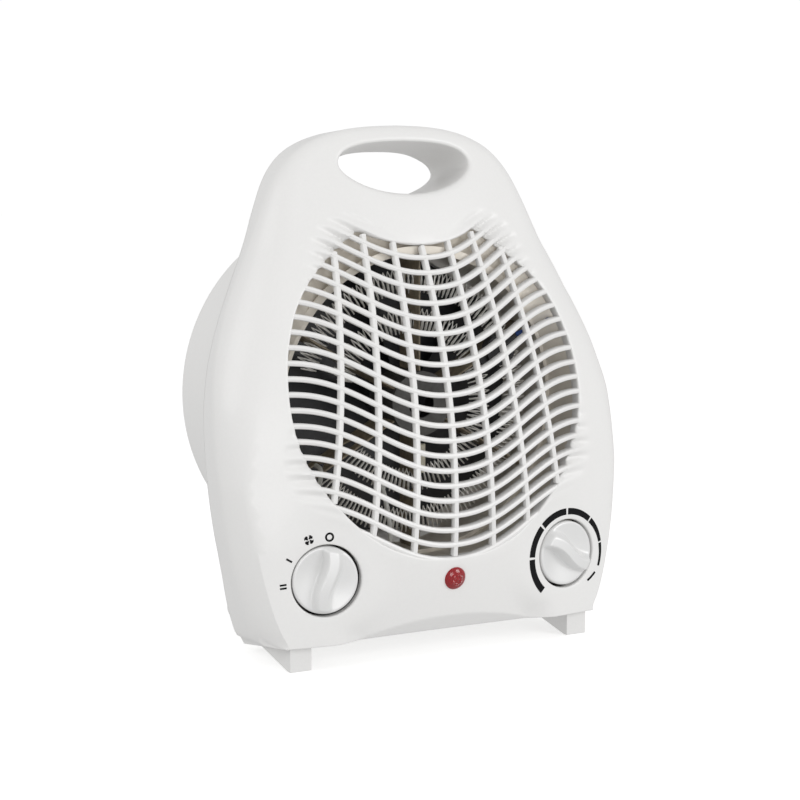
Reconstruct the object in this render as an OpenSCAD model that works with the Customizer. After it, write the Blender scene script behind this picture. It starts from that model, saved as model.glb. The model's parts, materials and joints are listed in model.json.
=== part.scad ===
// Upright fan convector heater: a leaning two-piece casing with a wave grille, a round rear
// drum that holds the fan and motor, a ring heating element, a rotary switch, a room
// thermostat and an indicator lamp. Front faces -Y. Origin: floor level, middle of the
// width and of the depth.

/* [Casing] */
// Overall width at the widest point
body_w = 219; // [206:1:226]
// Height of the handle's top above the floor
body_h = 256; // [252:1:262]
// Height of the front lower edge above the floor
base_z = 12; // [11:0.5:13]
// Moulded wall thickness
wall = 2.2; // [1.8:0.1:2.6]
// Horizontal bow radius of the front
bow_r = 300; // [260:5:360]
// Vertical bow radius of the front
lean_r = 228; // [220:1:240]

/* [Grille] */
// Half width of the grille opening
grille_hw = 79.3; // [76:0.1:81]
// Vertical distance from bar to bar
bar_pitch = 7.17; // [6.5:0.01:8]
// Height of one bar's front
bar_h = 2.5; // [2:0.1:3]
// Width of one upright rib
rib_w = 2.6; // [2:0.1:3.2]
// How far the bars rise from the centre to the sides
wave_h = 25; // [15:1:28]

/* [Rear drum] */
// Outer radius of the drum where it leaves the slab
drum_r1 = 96; // [92:0.5:97]
// Outer radius of the drum at its back edge
drum_r2 = 92.5; // [88:0.5:93]
// Depth from the front face to the back of the drum
drum_y = 125; // [123:0.5:130]
// Height of the fan axis
axis_z = 120; // [119:0.5:122]

/* [Controls] */
// Distance of each knob from the centre line
knob_x = 66.8; // [64:0.1:68]
// Height of the knob centres
knob_z = 44; // [42:0.5:46]
// Knob radius
knob_r = 16.9; // [15:0.1:17.2]
// Height of the indicator lamp
lamp_z = 39.2; // [38:0.1:42]

/* [Air mover] */
// Fan radius
fan_r = 68; // [60:0.5:70]
// Number of blades
blades = 6; // [4:1:7]
// Motor shaft radius
shaft_r = 2; // [1.5:0.25:2.5]

/* [Hidden] */
$fn = 64;

// The front bulges most at this height, where its face lies at front_y
bulge_z = 72;
front_y = -2.5;
// Above this height the front leans back in a straight line of this slope
straight_z = 198;
straight_slope = 0.4;
// Foremost point is the lamp lens, rearmost the drum
lens_front_y = -3.6;
mid_y = (lens_front_y + drum_y) / 2;
// Rear face of the slab: foot, waist, shoulder and top, as [depth, height]
rear_line = [[61, 0], [61, 80], [75, 190], [85, 238], [86.5, body_h + 4]];
// The covers' skins part this far in front of the rear face, and their bosses meet further in
split_inset = 3;
boss_inset = 10;
// The underside falls towards the back from base_z at this depth, by this slope
base_y = 10;
base_slope = 0.17;
base_low = 3;
// Outline of the casing: [share of half width, share of height] from foot to crown
outline_pts = [[0.8, 0], [0.864, 0.0435], [0.95, 0.2], [1, 0.395], [0.95, 0.569],
    [0.773, 0.743], [0.686, 0.83], [0.6, 0.905], [0.47, 0.96], [0.273, 0.992], [0, 1]];
// Right half of the hand hole from its top centre to its bottom centre, [x, height]
hole_pts = [[0, 248.5], [22, 247.2], [33, 243.5], [36.5, 238.5], [33, 233.5], [20, 225.5],
    [0, 221.7]];
hole_mid = [0, 236];
hole_tilt = 10;
hole_pivot_y = 50;
// Depths of the working parts, front to back
knob_y = 4.5;
cup_y = 12.6;
// Both controls face outwards, and the lamp downwards, with the curve of the front
control_tilt = 8;
duct_y0 = 36;
duct_y1 = 84;
duct_r = 74.7;
element_y0 = 36;
element_y1 = 56;
coil_y = 46;
outer_coil_r = 60;
inner_coil_r = 40;
coil_wind_r = 4.5;
fan_y0 = 62;
fan_y1 = 80;
hub_r = 14;
stack_y0 = 90;
stack_y1 = 108;
rotor_r = 12.9;
bush_r = 4;
casing_fix = [[84, 32], [66, 202], [49, 234]];
duct_fix = [[86, 122], [44, 47]];
switch_fix = 7.4;
foot_z = 52;
gland_x = 45;
gland_z = 30;
block_y = 112;
lead_r = 1.2;

// ---- shared helpers ----
module home() { translate([0, -mid_y, 0]) children(); }
// Children stand on the fan axis, their +Z running towards the back from depth y
module on_axis(y) { translate([0, y, axis_z]) rotate([-90, 0, 0]) children(); }
module along_y(x, y, z) { translate([x, y, z]) rotate([-90, 0, 0]) children(); }
module both_sides() { children(); mirror([1, 0, 0]) children(); }
module from_front() { rotate([90, 0, 0]) children(); }

function lerp_at(line, z, i = 0) =
    z <= line[i + 1][1] || i == len(line) - 2
    ? line[i][0] + (line[i + 1][0] - line[i][0]) * (z - line[i][1]) / (line[i + 1][1] - line[i][1])
    : lerp_at(line, z, i + 1);
function rear_y(z) = lerp_at(rear_line, z);
function bow_y(z) = front_y + pow(z - bulge_z, 2) / (2 * lean_r);
function base_at(y) = base_z - base_slope * (y - base_y);
function front_at(z) =
    z < straight_z ? bow_y(z) : bow_y(straight_z) + straight_slope * (z - straight_z);
function catmull(a, b, c, d, t) = 0.5 * (2 * b + (c - a) * t + (2 * a - 5 * b + 4 * c - d) * t * t
    + (3 * b - a - 3 * c + d) * t * t * t);
// Smooth open curve through pts, with steps per span and mirrored or repeated end points
function curve(pts, steps, first, last) = let (p = concat([first], pts, [last]))
    concat([for (i = [1 : len(pts) - 1], s = [0 : steps - 1])
        catmull(p[i - 1], p[i], p[i + 1], p[i + 2], s / steps)], [pts[len(pts) - 1]]);
function mirrored(half) = concat(half, [for (i = [len(half) - 1 : -1 : 0])
    if (abs(half[i][0]) > 0.01) [-half[i][0], half[i][1]]]);
function step5(t) = t >= 1 ? 1 : t * t * t * (10 + t * (6 * t - 15));
function step3(t) = t >= 1 ? 1 : t * t * (3 - 2 * t);
// Rise of the bars at a distance x from the centre line
function wave(x) = let (t = abs(x) / grille_hw) wave_h * (step5(t) + step3(t)) / 2;

// ---- casing ----
function casing_half(inset) = let (h = body_h - base_low, w = body_w / 2)
    [for (p = curve(outline_pts, 4, [0.75, -0.04], [-0.273, 0.992]))
        [max(0, p[0] * w - inset * (p[0] > 0.01 ? 1 : 0)),
         min(body_h - inset, base_low + p[1] * h)]];
module outline(inset) { polygon(mirrored(casing_half(inset))); }
// Solid between the bowed front and the rear face, shrunk by inset
module slab(inset) {
    intersection() {
        translate([0, 150, 0]) from_front() linear_extrude(200) outline(inset);
        translate([0, front_y + bow_r, 0]) rotate_extrude($fn = 180)
            polygon(concat([[160, 0]], [for (z = [0 : 12 : 192]) bow_pt(z, inset)],
                [bow_pt(straight_z, inset), bow_pt(body_h + 5, inset), [160, body_h + 5]]));
        translate([-120, 0, 0]) rotate([90, 0, 90]) linear_extrude(240)
            polygon(concat([[-50, base_at(-50) + inset],
                [rear_line[0][0] - inset, base_at(rear_line[0][0] - inset) + inset]],
                [for (i = [1 : len(rear_line) - 1]) [rear_line[i][0] - inset, rear_line[i][1]]],
                [[-50, body_h + 4]]));
    }
}
function bow_pt(z, inset) = [bow_r - (front_at(z) - front_y) - inset, z];
// Everything more than inset in front of the rear face
module front_half(inset) {
    translate([-120, 0, 0]) rotate([90, 0, 90]) linear_extrude(240)
        polygon(concat([[-50, -1]], [for (p = rear_line) [p[0] - inset, p[1] - 1]],
            [[rear_y(body_h) - inset, body_h + 6], [-50, body_h + 6]]));
}
// Turns children outwards about a control's own centre, s = -1 left and 1 right
module tilted(s) {
    translate([s * knob_x, knob_y, 0]) rotate(s * control_tilt)
        translate([-s * knob_x, -knob_y, 0]) children();
}
function tilt_pt(s, p) = let (a = s * control_tilt, u = p[0] - s * knob_x, v = p[1] - knob_y)
    [s * knob_x + u * cos(a) - v * sin(a), knob_y + u * sin(a) + v * cos(a), p[2]];
// Turns children square to the front where the lamp sits
module lamp_axis() {
    home() translate([0, 0, lamp_z]) rotate([atan((bulge_z - lamp_z) / lean_r) - 90, 0, 0])
        children();
}
function grow(p, d) = p + d * (p - hole_mid) / norm(p - hole_mid);
module hand_hole(grown) {
    half = [for (p = curve(hole_pts, 4, [-22, 247.2], [-20, 225.5])) grow(p, grown)];
    translate([0, hole_pivot_y, hole_mid[1]]) rotate([-hole_tilt, 0, 0])
        translate([0, 38, -hole_mid[1]]) from_front() linear_extrude(90)
            polygon(mirrored([for (p = half) [max(0, p[0]), p[1]]]));
}
module bosses(list, r, y0, y1) {
    both_sides() for (p = list) along_y(p[0], y0, p[1]) cylinder(r = r, h = y1 - y0);
}

// ---- wave grille ----
function bar_z(k) = 54.5 + bar_pitch * k;
function rib_x(n, z) = n * (21.4 - 0.045 * (z - 60));
function edge_x(n, z) = abs(n) == 4 ? n * 21 : rib_x(n, z);
module cell(n, k) {
    z = bar_z(k) + wave(19 * (n + 0.5)) - bar_pitch / 2;
    x0 = edge_x(n, z) + rib_w / 2;
    x1 = edge_x(n + 1, z) - rib_w / 2;
    polygon([[x0, bar_z(k) + wave(x0)], [x1, bar_z(k) + wave(x1)],
        [x1, bar_z(k - 1) + bar_h + wave(x1)], [x0, bar_z(k - 1) + bar_h + wave(x0)]]);
}
module opening_outline() {
    polygon([for (a = [0 : 6 : 354])
        [grille_hw * cos(a), 127.5 + (a < 180 ? 84 : 78) * sin(a)]]);
}
module grille_cells() {
    translate([0, 60, 0]) from_front() linear_extrude(80) intersection() {
        union() for (n = [-4 : 3], k = [-4 : 20]) cell(n, k);
        opening_outline();
    }
}

module front_cover() {
    color("white") home() difference() {
        intersection() {
            union() {
                intersection() {
                    difference() {
                        slab(0);
                        slab(wall);
                    }
                    front_half(split_inset);
                }
                intersection() {
                    slab(0);
                    front_half(boss_inset);
                    union() {
                        bosses(casing_fix, 4, -10, 90);
                        bosses(duct_fix, 4, -10, duct_y0);
                        for (s = [-1, 1]) tilted(s) along_y(s * knob_x, -5, knob_z)
                            cylinder(r = knob_r + 2.6, h = cup_y + wall + 5);
                    }
                }
                intersection() {
                    slab(0);
                    front_half(split_inset);
                    hand_hole(2.4);
                }
            }
            slab(0);
        }
        grille_cells();
        hand_hole(0);
        drum(-0.2, 60);
        for (s = [-1, 1]) tilted(s) {
            along_y(s * knob_x, -20, knob_z) cylinder(r = knob_r + 0.6, h = cup_y + 20);
            along_y(s * knob_x, 0, knob_z) cylinder(r = 4.8, h = 30);
        }
        tilted(-1) for (d = [-1, 1])
            along_y(d * switch_fix - knob_x, 0, d * switch_fix + knob_z)
                cylinder(r = 1.5, h = 30);
        translate([0, mid_y, 0]) lamp_axis() translate([0, 0, -10]) cylinder(r = 5, h = 30);
        for (p = casing_fix) both_sides()
            along_y(p[0], rear_y(p[1]) - boss_inset - 14, p[1]) cylinder(r = 1.6, h = 40);
        bosses(duct_fix, 1.4, duct_y0 - 9, duct_y0 + 1);
    }
}

// Drum outline from its mouth to the back, [radius, depth], shrunk by inset
function drum_half(inset) = let (e = 9)
    concat([[drum_r1 - inset, 40]],
        [for (a = [0 : 15 : 90]) [drum_r2 - e + (e - inset) * cos(a),
            drum_y - e + (e - inset) * sin(a)]]);
module drum(inset, y0) {
    on_axis(0) rotate_extrude($fn = 128)
        polygon(concat([for (p = drum_half(inset)) [p[0], max(y0, p[1])]],
            [[0, drum_y - inset], [0, y0]]));
}
// Low block that carries the rear feet and the cord inlet
module foot_block(inset) {
    y0 = rear_line[0][0] - split_inset;
    z0 = base_at(rear_line[0][0]) + inset;
    translate([-74 + inset, y0, z0])
        cube([148 - 2 * inset, block_y - y0 - inset, foot_z - inset - z0]);
}
module intake_slots() {
    on_axis(drum_y - 8) linear_extrude(20) difference() {
        union() for (i = [0 : 6]) difference() {
            circle(r = 26.5 + 8 * i);
            circle(r = 22 + 8 * i);
        }
        for (a = [0 : 45 : 135]) rotate(a + 22.5) square([180, 6], center = true);
    }
}
module rear_cover() {
    color("white") home() difference() {
        union() {
            difference() {
                union() {
                    difference() {
                        slab(0);
                        slab(wall);
                    }
                    intersection() {
                        slab(0);
                        hand_hole(2.4);
                    }
                }
                front_half(split_inset);
            }
            difference() {
                intersection() {
                    slab(0);
                    bosses(casing_fix, 5.2, 40, 95);
                }
                front_half(boss_inset);
            }
            difference() {
                union() {
                    drum(0, 60.5);
                    foot_block(0);
                }
                foot_block(wall);
                translate([-71, 45, base_at(45) + wall + 0.3]) cube([142, 20, 33]);
            }
        }
        drum(wall, 40);
        hand_hole(0);
        for (p = casing_fix) both_sides() {
            along_y(p[0], rear_y(p[1]) - boss_inset - 1, p[1]) cylinder(r = 2.1, h = 30);
            along_y(p[0], rear_y(p[1]) - 5, p[1]) cylinder(r = 4, h = 30);
        }
        intake_slots();
        along_y(gland_x, block_y - 8, gland_z) cylinder(r = 6, h = 20);
    }
}

// ---- feet ----
module front_feet() {
    color("white") home() both_sides() translate([71.5, 0, 0]) rotate([90, 0, 90])
        linear_extrude(11) polygon([[11, 0], [14, 0], [45, base_at(45) - 0.3],
            [45, base_at(45)], [11, base_at(11)]]);
}
module rear_feet() {
    color("white") home() both_sides() translate([59, 90, 0])
        cube([11, 18, base_at(rear_line[0][0])]);
}

// ---- fasteners ----
module pan_screw(head_r, head_h, r, length) {
    cylinder(r = head_r, h = head_h);
    translate([0, 0, -length]) cylinder(r = r, h = length + 0.01);
}
module casing_screws() {
    color("silver") home() for (p = casing_fix) both_sides()
        along_y(p[0], rear_y(p[1]) - 5, p[1]) pan_screw(3.6, 2.4, 1.6, 17);
}
module duct_screws() {
    color("silver") home() for (p = duct_fix) both_sides()
        along_y(p[0], duct_y0 + 1.2, p[1]) pan_screw(2.8, 2, 1.4, 8);
}
module strap_screws() {
    color("silver") home() both_sides() along_y(77, duct_y1 + 1.5, axis_z)
        pan_screw(2.6, 1.8, 1.3, 6);
}
module motor_screws() {
    color("silver") home() both_sides() along_y(25, stack_y1 + 1.5, axis_z + 20)
        pan_screw(3, 2.2, 1.5, 24.5);
}

// ---- rotary switch ----
module knob(s) {
    along_y(s * knob_x, knob_y, knob_z) difference() {
        union() {
            cylinder(r = knob_r, h = 7.8);
            intersection() {
                cylinder(r = knob_r - 0.3, h = 30, center = true);
                rotate(s > 0 ? 120 : 5) translate([0, 0, -1.9])
                    cube([7, 2 * knob_r, 3.9], center = true);
            }
        }
        translate([0, 0, 2.8]) difference() {
            cylinder(r = 14, h = 10);
            cylinder(r = 5.2, h = 2.6);
        }
        translate([0, 0, 1.5]) cylinder(r = 3, h = 10);
    }
}
module spindle(s, y1) {
    along_y(s * knob_x, knob_y + 1.6, knob_z) cylinder(r = 3, h = y1 - knob_y - 1.6);
}
// A block behind the panel with a running bore for its spindle
module control_body(s, w, h, y0, depth, neck_r) {
    difference() {
        union() {
            translate([s * knob_x - w / 2, y0, knob_z - h / 2]) cube([w, depth, h]);
            along_y(s * knob_x, cup_y - 2, knob_z) cylinder(r = neck_r, h = y0 - cup_y + 3);
        }
        along_y(s * knob_x, 0, knob_z) cylinder(r = 3.05, h = y0 + depth - 3);
    }
}
module switch_knob() { color("silver") home() tilted(-1) knob(-1); }
module switch_spindle() { color("gray") home() tilted(-1) spindle(-1, 26.5); }
module switch_body() { color("dimgray") home() tilted(-1) difference() {
    control_body(-1, 24, 24, 15, 15, 4.5);
    for (d = [-1, 1]) along_y(d * switch_fix - knob_x, 10, d * switch_fix + knob_z)
        cylinder(r = 1.3, h = 13);
} }
module switch_terminals() {
    color("gold") home() tilted(-1) for (dx = [-7, 7], dz = [-8, 8])
        translate([-knob_x + dx - 2.4, 30, knob_z + dz - 0.4]) cube([4.8, 7, 0.8]);
}
module switch_screws() {
    color("silver") home() tilted(-1) for (d = [-1, 1])
        along_y(d * switch_fix - knob_x, cup_y, d * switch_fix + knob_z) mirror([0, 0, 1])
            pan_screw(2.4, 1.8, 1.25, 9);
}

// ---- room thermostat ----
module thermostat_knob() { color("silver") home() tilted(1) knob(1); }
module thermostat_spindle() { color("gray") home() tilted(1) spindle(1, 25.5); }
module thermostat_body() {
    color("ivory") home() tilted(1) control_body(1, 24, 30, 15, 14, 4.5);
}
module thermostat_bimetal() {
    color("gold") home() tilted(1) {
        translate([knob_x - 4, 29, knob_z - 13]) cube([8, 0.8, 26]);
        for (dz = [-8, 8]) translate([knob_x - 2.4, 29.8, knob_z + dz - 0.4]) cube([4.8, 7, 0.8]);
    }
}
module thermostat_nut() {
    color("silver") home() tilted(1) along_y(knob_x, cup_y - 1.9, knob_z) difference() {
        cylinder(r = 7.5, h = 1.8, $fn = 6);
        translate([0, 0, -1]) cylinder(r = 4.5, h = 5);
    }
}

// ---- indicator lamp ----
module lamp_lens() {
    color("red") lamp_axis() rotate_extrude()
        polygon([[0, lens_front_y], [2.6, lens_front_y + 0.3], [5, lens_front_y + 1.7],
            [6, -0.6], [6, -0.25], [4.8, -0.25], [4.8, 9], [3.2, 9], [3.2, -0.6], [0, -1.4]]);
}
module neon_lamp() {
    color("orange") lamp_axis() translate([0, 0, 0.6]) {
        cylinder(r = 2.6, h = 11);
        for (x = [-1.2, 1.2]) translate([x, 0, 11]) cylinder(r = 0.4, h = 6);
    }
}
module lamp_holder() {
    color("black") lamp_axis() translate([0, 0, 3.2]) difference() {
        cylinder(r = 8, h = 2.6);
        translate([0, 0, -1]) cylinder(r = 4.85, h = 5);
    }
}

// ---- air duct and heating element ----
module air_duct() {
    color("lightgray") home() difference() {
        union() {
            on_axis(duct_y0) cylinder(r = duct_r, h = duct_y1 - duct_y0);
            on_axis(duct_y0) cylinder(r = 77.5, h = 1.2);
            on_axis(duct_y1 - 1.2) cylinder(r = 81, h = 1.2);
            both_sides() for (p = duct_fix) {
                along_y(p[0], duct_y0, p[1]) cylinder(r = 6, h = 1.2);
                translate([p[0] - 8, duct_y0, p[1] - 5 + (p[1] < 100 ? 5 : 0)]) cube([8, 1.2, 10]);
            }
        }
        on_axis(duct_y0 - 1) cylinder(r = duct_r - 1.2, h = 60);
        bosses(duct_fix, 1.5, duct_y0 - 1, duct_y0 + 3);
        both_sides() along_y(77, duct_y1 - 3, axis_z) cylinder(r = 1.35, h = 6);
    }
}
module mica_arms() {
    color("tan") home() for (a = [30 : 60 : 330]) difference() {
        on_axis(element_y0) rotate(a) translate([16.1, -0.4, 0])
            cube([duct_r - 1.4 - 16.1, 0.8, element_y1 - element_y0]);
        for (r = [inner_coil_r, outer_coil_r]) on_axis(coil_y) rotate(a)
            translate([r, 2, 0]) rotate([90, 0, 0]) cylinder(r = coil_wind_r + 0.35, h = 4);
    }
}
module element_hub() {
    color("silver") home() on_axis(element_y0 - 2) difference() {
        cylinder(r = 16, h = 23);
        translate([0, 0, 1.2]) cylinder(r = 14.8, h = 30);
        translate([0, 0, -1]) cylinder(r = 7, h = 5);
    }
}
module coil_ring(r) {
    color("dimgray") home() on_axis(coil_y) rotate_extrude($fn = 96)
        translate([r, 0]) circle(r = coil_wind_r);
}
module outer_coil() { coil_ring(outer_coil_r); }
module inner_coil() { coil_ring(inner_coil_r); }
module thermal_cutout() {
    color("black") home() on_axis(element_y0 - 5.6) rotate(-30) translate([50, 0, 0]) {
        cylinder(r = 8, h = 5.6);
        translate([-12, -1.5, 2]) cube([24, 3, 1.2]);
    }
}
module thermal_fuse() {
    color("ivory") home() on_axis(element_y0 - 2) rotate(90) translate([20, 0, 0])
        rotate([0, 90, 0]) cylinder(r = 2, h = 14);
}

// ---- fan and motor ----
module fan_impeller() {
    color("whitesmoke") home() difference() {
        union() {
            on_axis(fan_y0) cylinder(r = hub_r, h = fan_y1 - fan_y0);
            intersection() {
                on_axis(fan_y0) cylinder(r = fan_r, h = fan_y1 - fan_y0);
                for (i = [0 : blades - 1]) on_axis((fan_y0 + fan_y1) / 2) rotate(i * 360 / blades)
                    rotate([35, 0, 0]) translate([hub_r - 2, -14, -0.8])
                        cube([fan_r, 28, 1.6]);
            }
        }
        on_axis(fan_y0 + 3) cylinder(r = hub_r - 2, h = 9);
        on_axis(fan_y0 - 1) cylinder(r = shaft_r, h = 40);
    }
}
module motor_shaft() {
    color("silver") home() on_axis(fan_y0 - 4) cylinder(r = shaft_r, h = stack_y1 + 9 - fan_y0 + 4);
}
module rotor() {
    color("gray") home() difference() {
        on_axis(stack_y0 + 0.5) cylinder(r = rotor_r, h = stack_y1 - stack_y0 - 1);
        on_axis(stack_y0 - 1) cylinder(r = shaft_r, h = 40);
    }
}
// Rectangle in the motor's own plane: x from -w to w, height z0 to z1 about the axis
module motor_block(w, z0, z1, y0, y1) {
    translate([-w, y0, axis_z + z0]) cube([2 * w, y1 - y0, z1 - z0]);
}
module stator_stack() {
    color("darkgray") home() difference() {
        motor_block(30, -46, 26, stack_y0, stack_y1);
        on_axis(stack_y0 - 1) cylinder(r = rotor_r + 0.4, h = 40);
        difference() {
            motor_block(22, -38, -18, stack_y0 - 1, stack_y1 + 1);
            motor_block(8, -40, -16, stack_y0 - 2, stack_y1 + 2);
        }
        both_sides() along_y(25, stack_y0 - 1, axis_z + 20) cylinder(r = 1.6, h = 40);
    }
}
module motor_bobbin() {
    color("whitesmoke") home() difference() {
        union() {
            motor_block(9.5, -37.5, -18.5, stack_y0 - 1.5, stack_y1 + 1.5);
            for (z = [-37.5, -20]) motor_block(21, z, z + 1.5, stack_y0 - 5, stack_y1 + 5);
        }
        motor_block(8.1, -50, -10, stack_y0 - 0.1, stack_y1 + 0.1);
        both_sides() translate([22 - 0.2, stack_y0 - 0.1, axis_z - 60]) cube([20, 18.2, 60]);
    }
}
module motor_coil() {
    color("peru") home() difference() {
        motor_block(20, -35.8, -20.2, stack_y0 - 4.5, stack_y1 + 4.5);
        motor_block(9.6, -50, -10, stack_y0 - 1.6, stack_y1 + 1.6);
    }
}
module bearing_bracket(y, nose) {
    difference() {
        union() {
            motor_block(29, 12, 25, y, y + 1.5);
            motor_block(12, -9, 14, y, y + 1.5);
            on_axis(y + min(0, nose)) cylinder(r = bush_r + 1.5, h = abs(nose) + 1.5);
        }
        on_axis(y - 10) cylinder(r = bush_r, h = 20);
        both_sides() along_y(25, y - 5, axis_z + 20) cylinder(r = 1.6, h = 20);
    }
}
module front_bearing_bracket() {
    color("silver") home() {
        bearing_bracket(duct_y1 + 1.5, 2.6);
        difference() {
            both_sides() along_y(25, duct_y1 + 3, axis_z + 20) cylinder(r = 3.5, h = 3);
            both_sides() along_y(25, duct_y1 + 2, axis_z + 20) cylinder(r = 1.6, h = 10);
        }
    }
}
module rear_bearing_bracket() {
    color("silver") home() bearing_bracket(stack_y1, 6);
}
module bearing_bushes() {
    color("goldenrod") home() for (y = [duct_y1 + 1.5, stack_y1 + 1.5]) difference() {
        on_axis(y) cylinder(r = bush_r, h = 4);
        on_axis(y - 1) cylinder(r = shaft_r + 0.05, h = 10);
    }
}
module motor_strap() {
    color("silver") home() difference() {
        union() {
            motor_block(80, -8, 8, duct_y1, duct_y1 + 1.5);
            motor_block(30, 8, 25, duct_y1, duct_y1 + 1.5);
        }
        on_axis(duct_y1 - 1) cylinder(r = bush_r, h = 5);
        both_sides() {
            along_y(77, duct_y1 - 1, axis_z) cylinder(r = 1.35, h = 5);
            along_y(25, duct_y1 - 1, axis_z + 20) cylinder(r = 1.6, h = 5);
        }
    }
}

// ---- supply entry and wiring ----
module terminal_block() {
    color("ivory") home() translate([-14, 30, base_at(30) + wall])
        difference() {
        cube([28, 14, 12]);
        for (i = [0 : 2]) translate([5 + 9 * i, 7, 5]) cylinder(r = 2.4, h = 10);
    }
}
module cord_gland() {
    color("gainsboro") home() difference() {
        union() {
            along_y(gland_x, block_y - 4, gland_z) cylinder(r = 5.9, h = 6);
            along_y(gland_x, block_y, gland_z) cylinder(r = 8, h = 2);
        }
        along_y(gland_x, block_y - 10, gland_z) cylinder(r = 3.6, h = 20);
    }
}
// Routes of the inner leads: end, bends, end
switch_route = [[-14.5, 37, 19], [-28, 41, 17], [-46, 43, 22], [-54, 43, 28],
    tilt_pt(-1, [-59.8, 37.5, 36])];
thermostat_route = [tilt_pt(-1, [-59.8, 37.5, 52]), [-52, 45, 47], [-36, 49, 38], [-10, 49, 32],
    [20, 49, 31], [48, 47, 32], [60, 43, 35.5], tilt_pt(1, [66.8, 37.2, 36])];
low_route = [tilt_pt(-1, [-73.8, 38.4, 52]), [-76, 43, 56], [-76, 40, 64], [-68, 28, 74],
    [-60, 27, 84], [-55.5, 33, 91], [-54.5, 40.6, 92.5]];
high_route = [tilt_pt(-1, [-73.8, 37.5, 36]), [-66, 45, 37], [-46, 46, 34], [-32, 38, 35],
    [-24, 27, 46], [-22, 25, 58], [-21, 32, 74], [-20.5, 40.6, 84.5]];
motor_route = [tilt_pt(1, [66.8, 37.6, 52]), [68, 44, 52], [66, 54, 54], [63, 66, 56],
    [62, 78, 58], [57, 89, 60], [46, 103, 68], [34, 111.4, 80], [21.4, 111.2, 91]];
cutout_route = [[14.5, 37, 19], [34, 38, 18], [62, 44, 22], [80, 47, 40], [85, 45, 62],
    [86, 45, 90], [85, 44, 140], [74, 32, 158], [62, 27, 156], [51, 29, 152.5]];
function unit(v) = v / norm(v);
// Ring of eight points about p, square to direction d
function ring(p, d, r) = let (u = unit(cross(d, [1, 1, 1])), v = cross(d, u))
    [for (a = [0 : 45 : 315]) p + r * (u * cos(a) + v * sin(a))];
module lead(route) {
    path = curve(route, 3, 2 * route[0] - route[1],
        2 * route[len(route) - 1] - route[len(route) - 2]);
    n = len(path);
    rings = [for (i = [0 : n - 1])
        ring(path[i], unit(path[min(n - 1, i + 1)] - path[max(0, i - 1)]), lead_r)];
    home() polyhedron(points = [for (r = rings) each r], faces = concat(
        [[for (j = [7 : -1 : 0]) j]], [[for (j = [0 : 7]) (n - 1) * 8 + j]],
        [for (i = [0 : n - 2], j = [0 : 7]) let (k = (j + 1) % 8, a = i * 8, b = a + 8)
            each [[a + j, a + k, b + k], [a + j, b + k, b + j]]]));
}
module switch_lead() { color("brown") lead(switch_route); }
module thermostat_lead() { color("brown") lead(thermostat_route); }
module low_heat_lead() { color("white") lead(low_route); }
module high_heat_lead() { color("white") lead(high_route); }
module motor_lead() { color("blue") lead(motor_route); }
module cutout_lead() { color("blue") lead(cutout_route); }

front_cover();
rear_cover();
front_feet();
rear_feet();
casing_screws();
switch_knob();
switch_spindle();
switch_body();
switch_terminals();
switch_screws();
thermostat_knob();
thermostat_spindle();
thermostat_body();
thermostat_bimetal();
thermostat_nut();
lamp_lens();
neon_lamp();
lamp_holder();
air_duct();
duct_screws();
mica_arms();
element_hub();
outer_coil();
inner_coil();
thermal_cutout();
thermal_fuse();
fan_impeller();
motor_shaft();
rotor();
stator_stack();
motor_bobbin();
motor_coil();
front_bearing_bracket();
rear_bearing_bracket();
bearing_bushes();
motor_strap();
strap_screws();
motor_screws();
terminal_block();
cord_gland();
switch_lead();
thermostat_lead();
low_heat_lead();
high_heat_lead();
motor_lead();
cutout_lead();
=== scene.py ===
import json
import math

import bpy
import bmesh
import numpy as np
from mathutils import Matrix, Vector
from mathutils.geometry import delaunay_2d_cdt
from mathutils.kdtree import KDTree


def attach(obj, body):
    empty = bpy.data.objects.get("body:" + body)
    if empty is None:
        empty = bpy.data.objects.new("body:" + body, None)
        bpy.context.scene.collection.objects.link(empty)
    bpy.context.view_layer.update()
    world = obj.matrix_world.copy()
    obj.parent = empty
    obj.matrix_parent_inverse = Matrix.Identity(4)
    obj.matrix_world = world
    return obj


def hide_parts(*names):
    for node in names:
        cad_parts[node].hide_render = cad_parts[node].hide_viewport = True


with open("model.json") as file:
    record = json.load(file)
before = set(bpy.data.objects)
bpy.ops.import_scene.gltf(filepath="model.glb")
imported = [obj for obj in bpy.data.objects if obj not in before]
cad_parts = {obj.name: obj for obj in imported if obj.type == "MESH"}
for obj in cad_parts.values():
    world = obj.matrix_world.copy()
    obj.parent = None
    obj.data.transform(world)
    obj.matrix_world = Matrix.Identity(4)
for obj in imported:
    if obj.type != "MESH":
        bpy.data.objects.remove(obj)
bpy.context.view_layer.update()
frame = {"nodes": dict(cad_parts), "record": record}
scene = bpy.context.scene

# Shapes are worked out in millimetres, with depth y measured back from the lamp's face, as the
# CAD source does, and moved to the frame, in metres, when each mesh is made.
MM = 0.001
MID_Y = 60.7

# front: bowed across with BOW_R, curved up and back with LEAN_R, straight above STRAIGHT_Z
FRONT_Y = -2.5
BOW_R = 300.0
LEAN_R = 228.0
BULGE_Z = 72.0
STRAIGHT_Z = 198.0
STRAIGHT_SLOPE = 0.4
# underside: level back to BASE_Y, then dropping by BASE_SLOPE; arched bevel at its front edge
BASE_Z = 12.0
BASE_Y = 10.0
BASE_SLOPE = 0.17
LIP_H, LIP_HALF_W = 8.5, 50
FRONT_WALL, REAR_WALL, DRUM_WALL = 2.0, 1.8, 2.2
SEAM = 3.0
SEAM_GAP = 0.18
AXIS_Z = 120.0
DRUM_Y = 125.0

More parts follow.
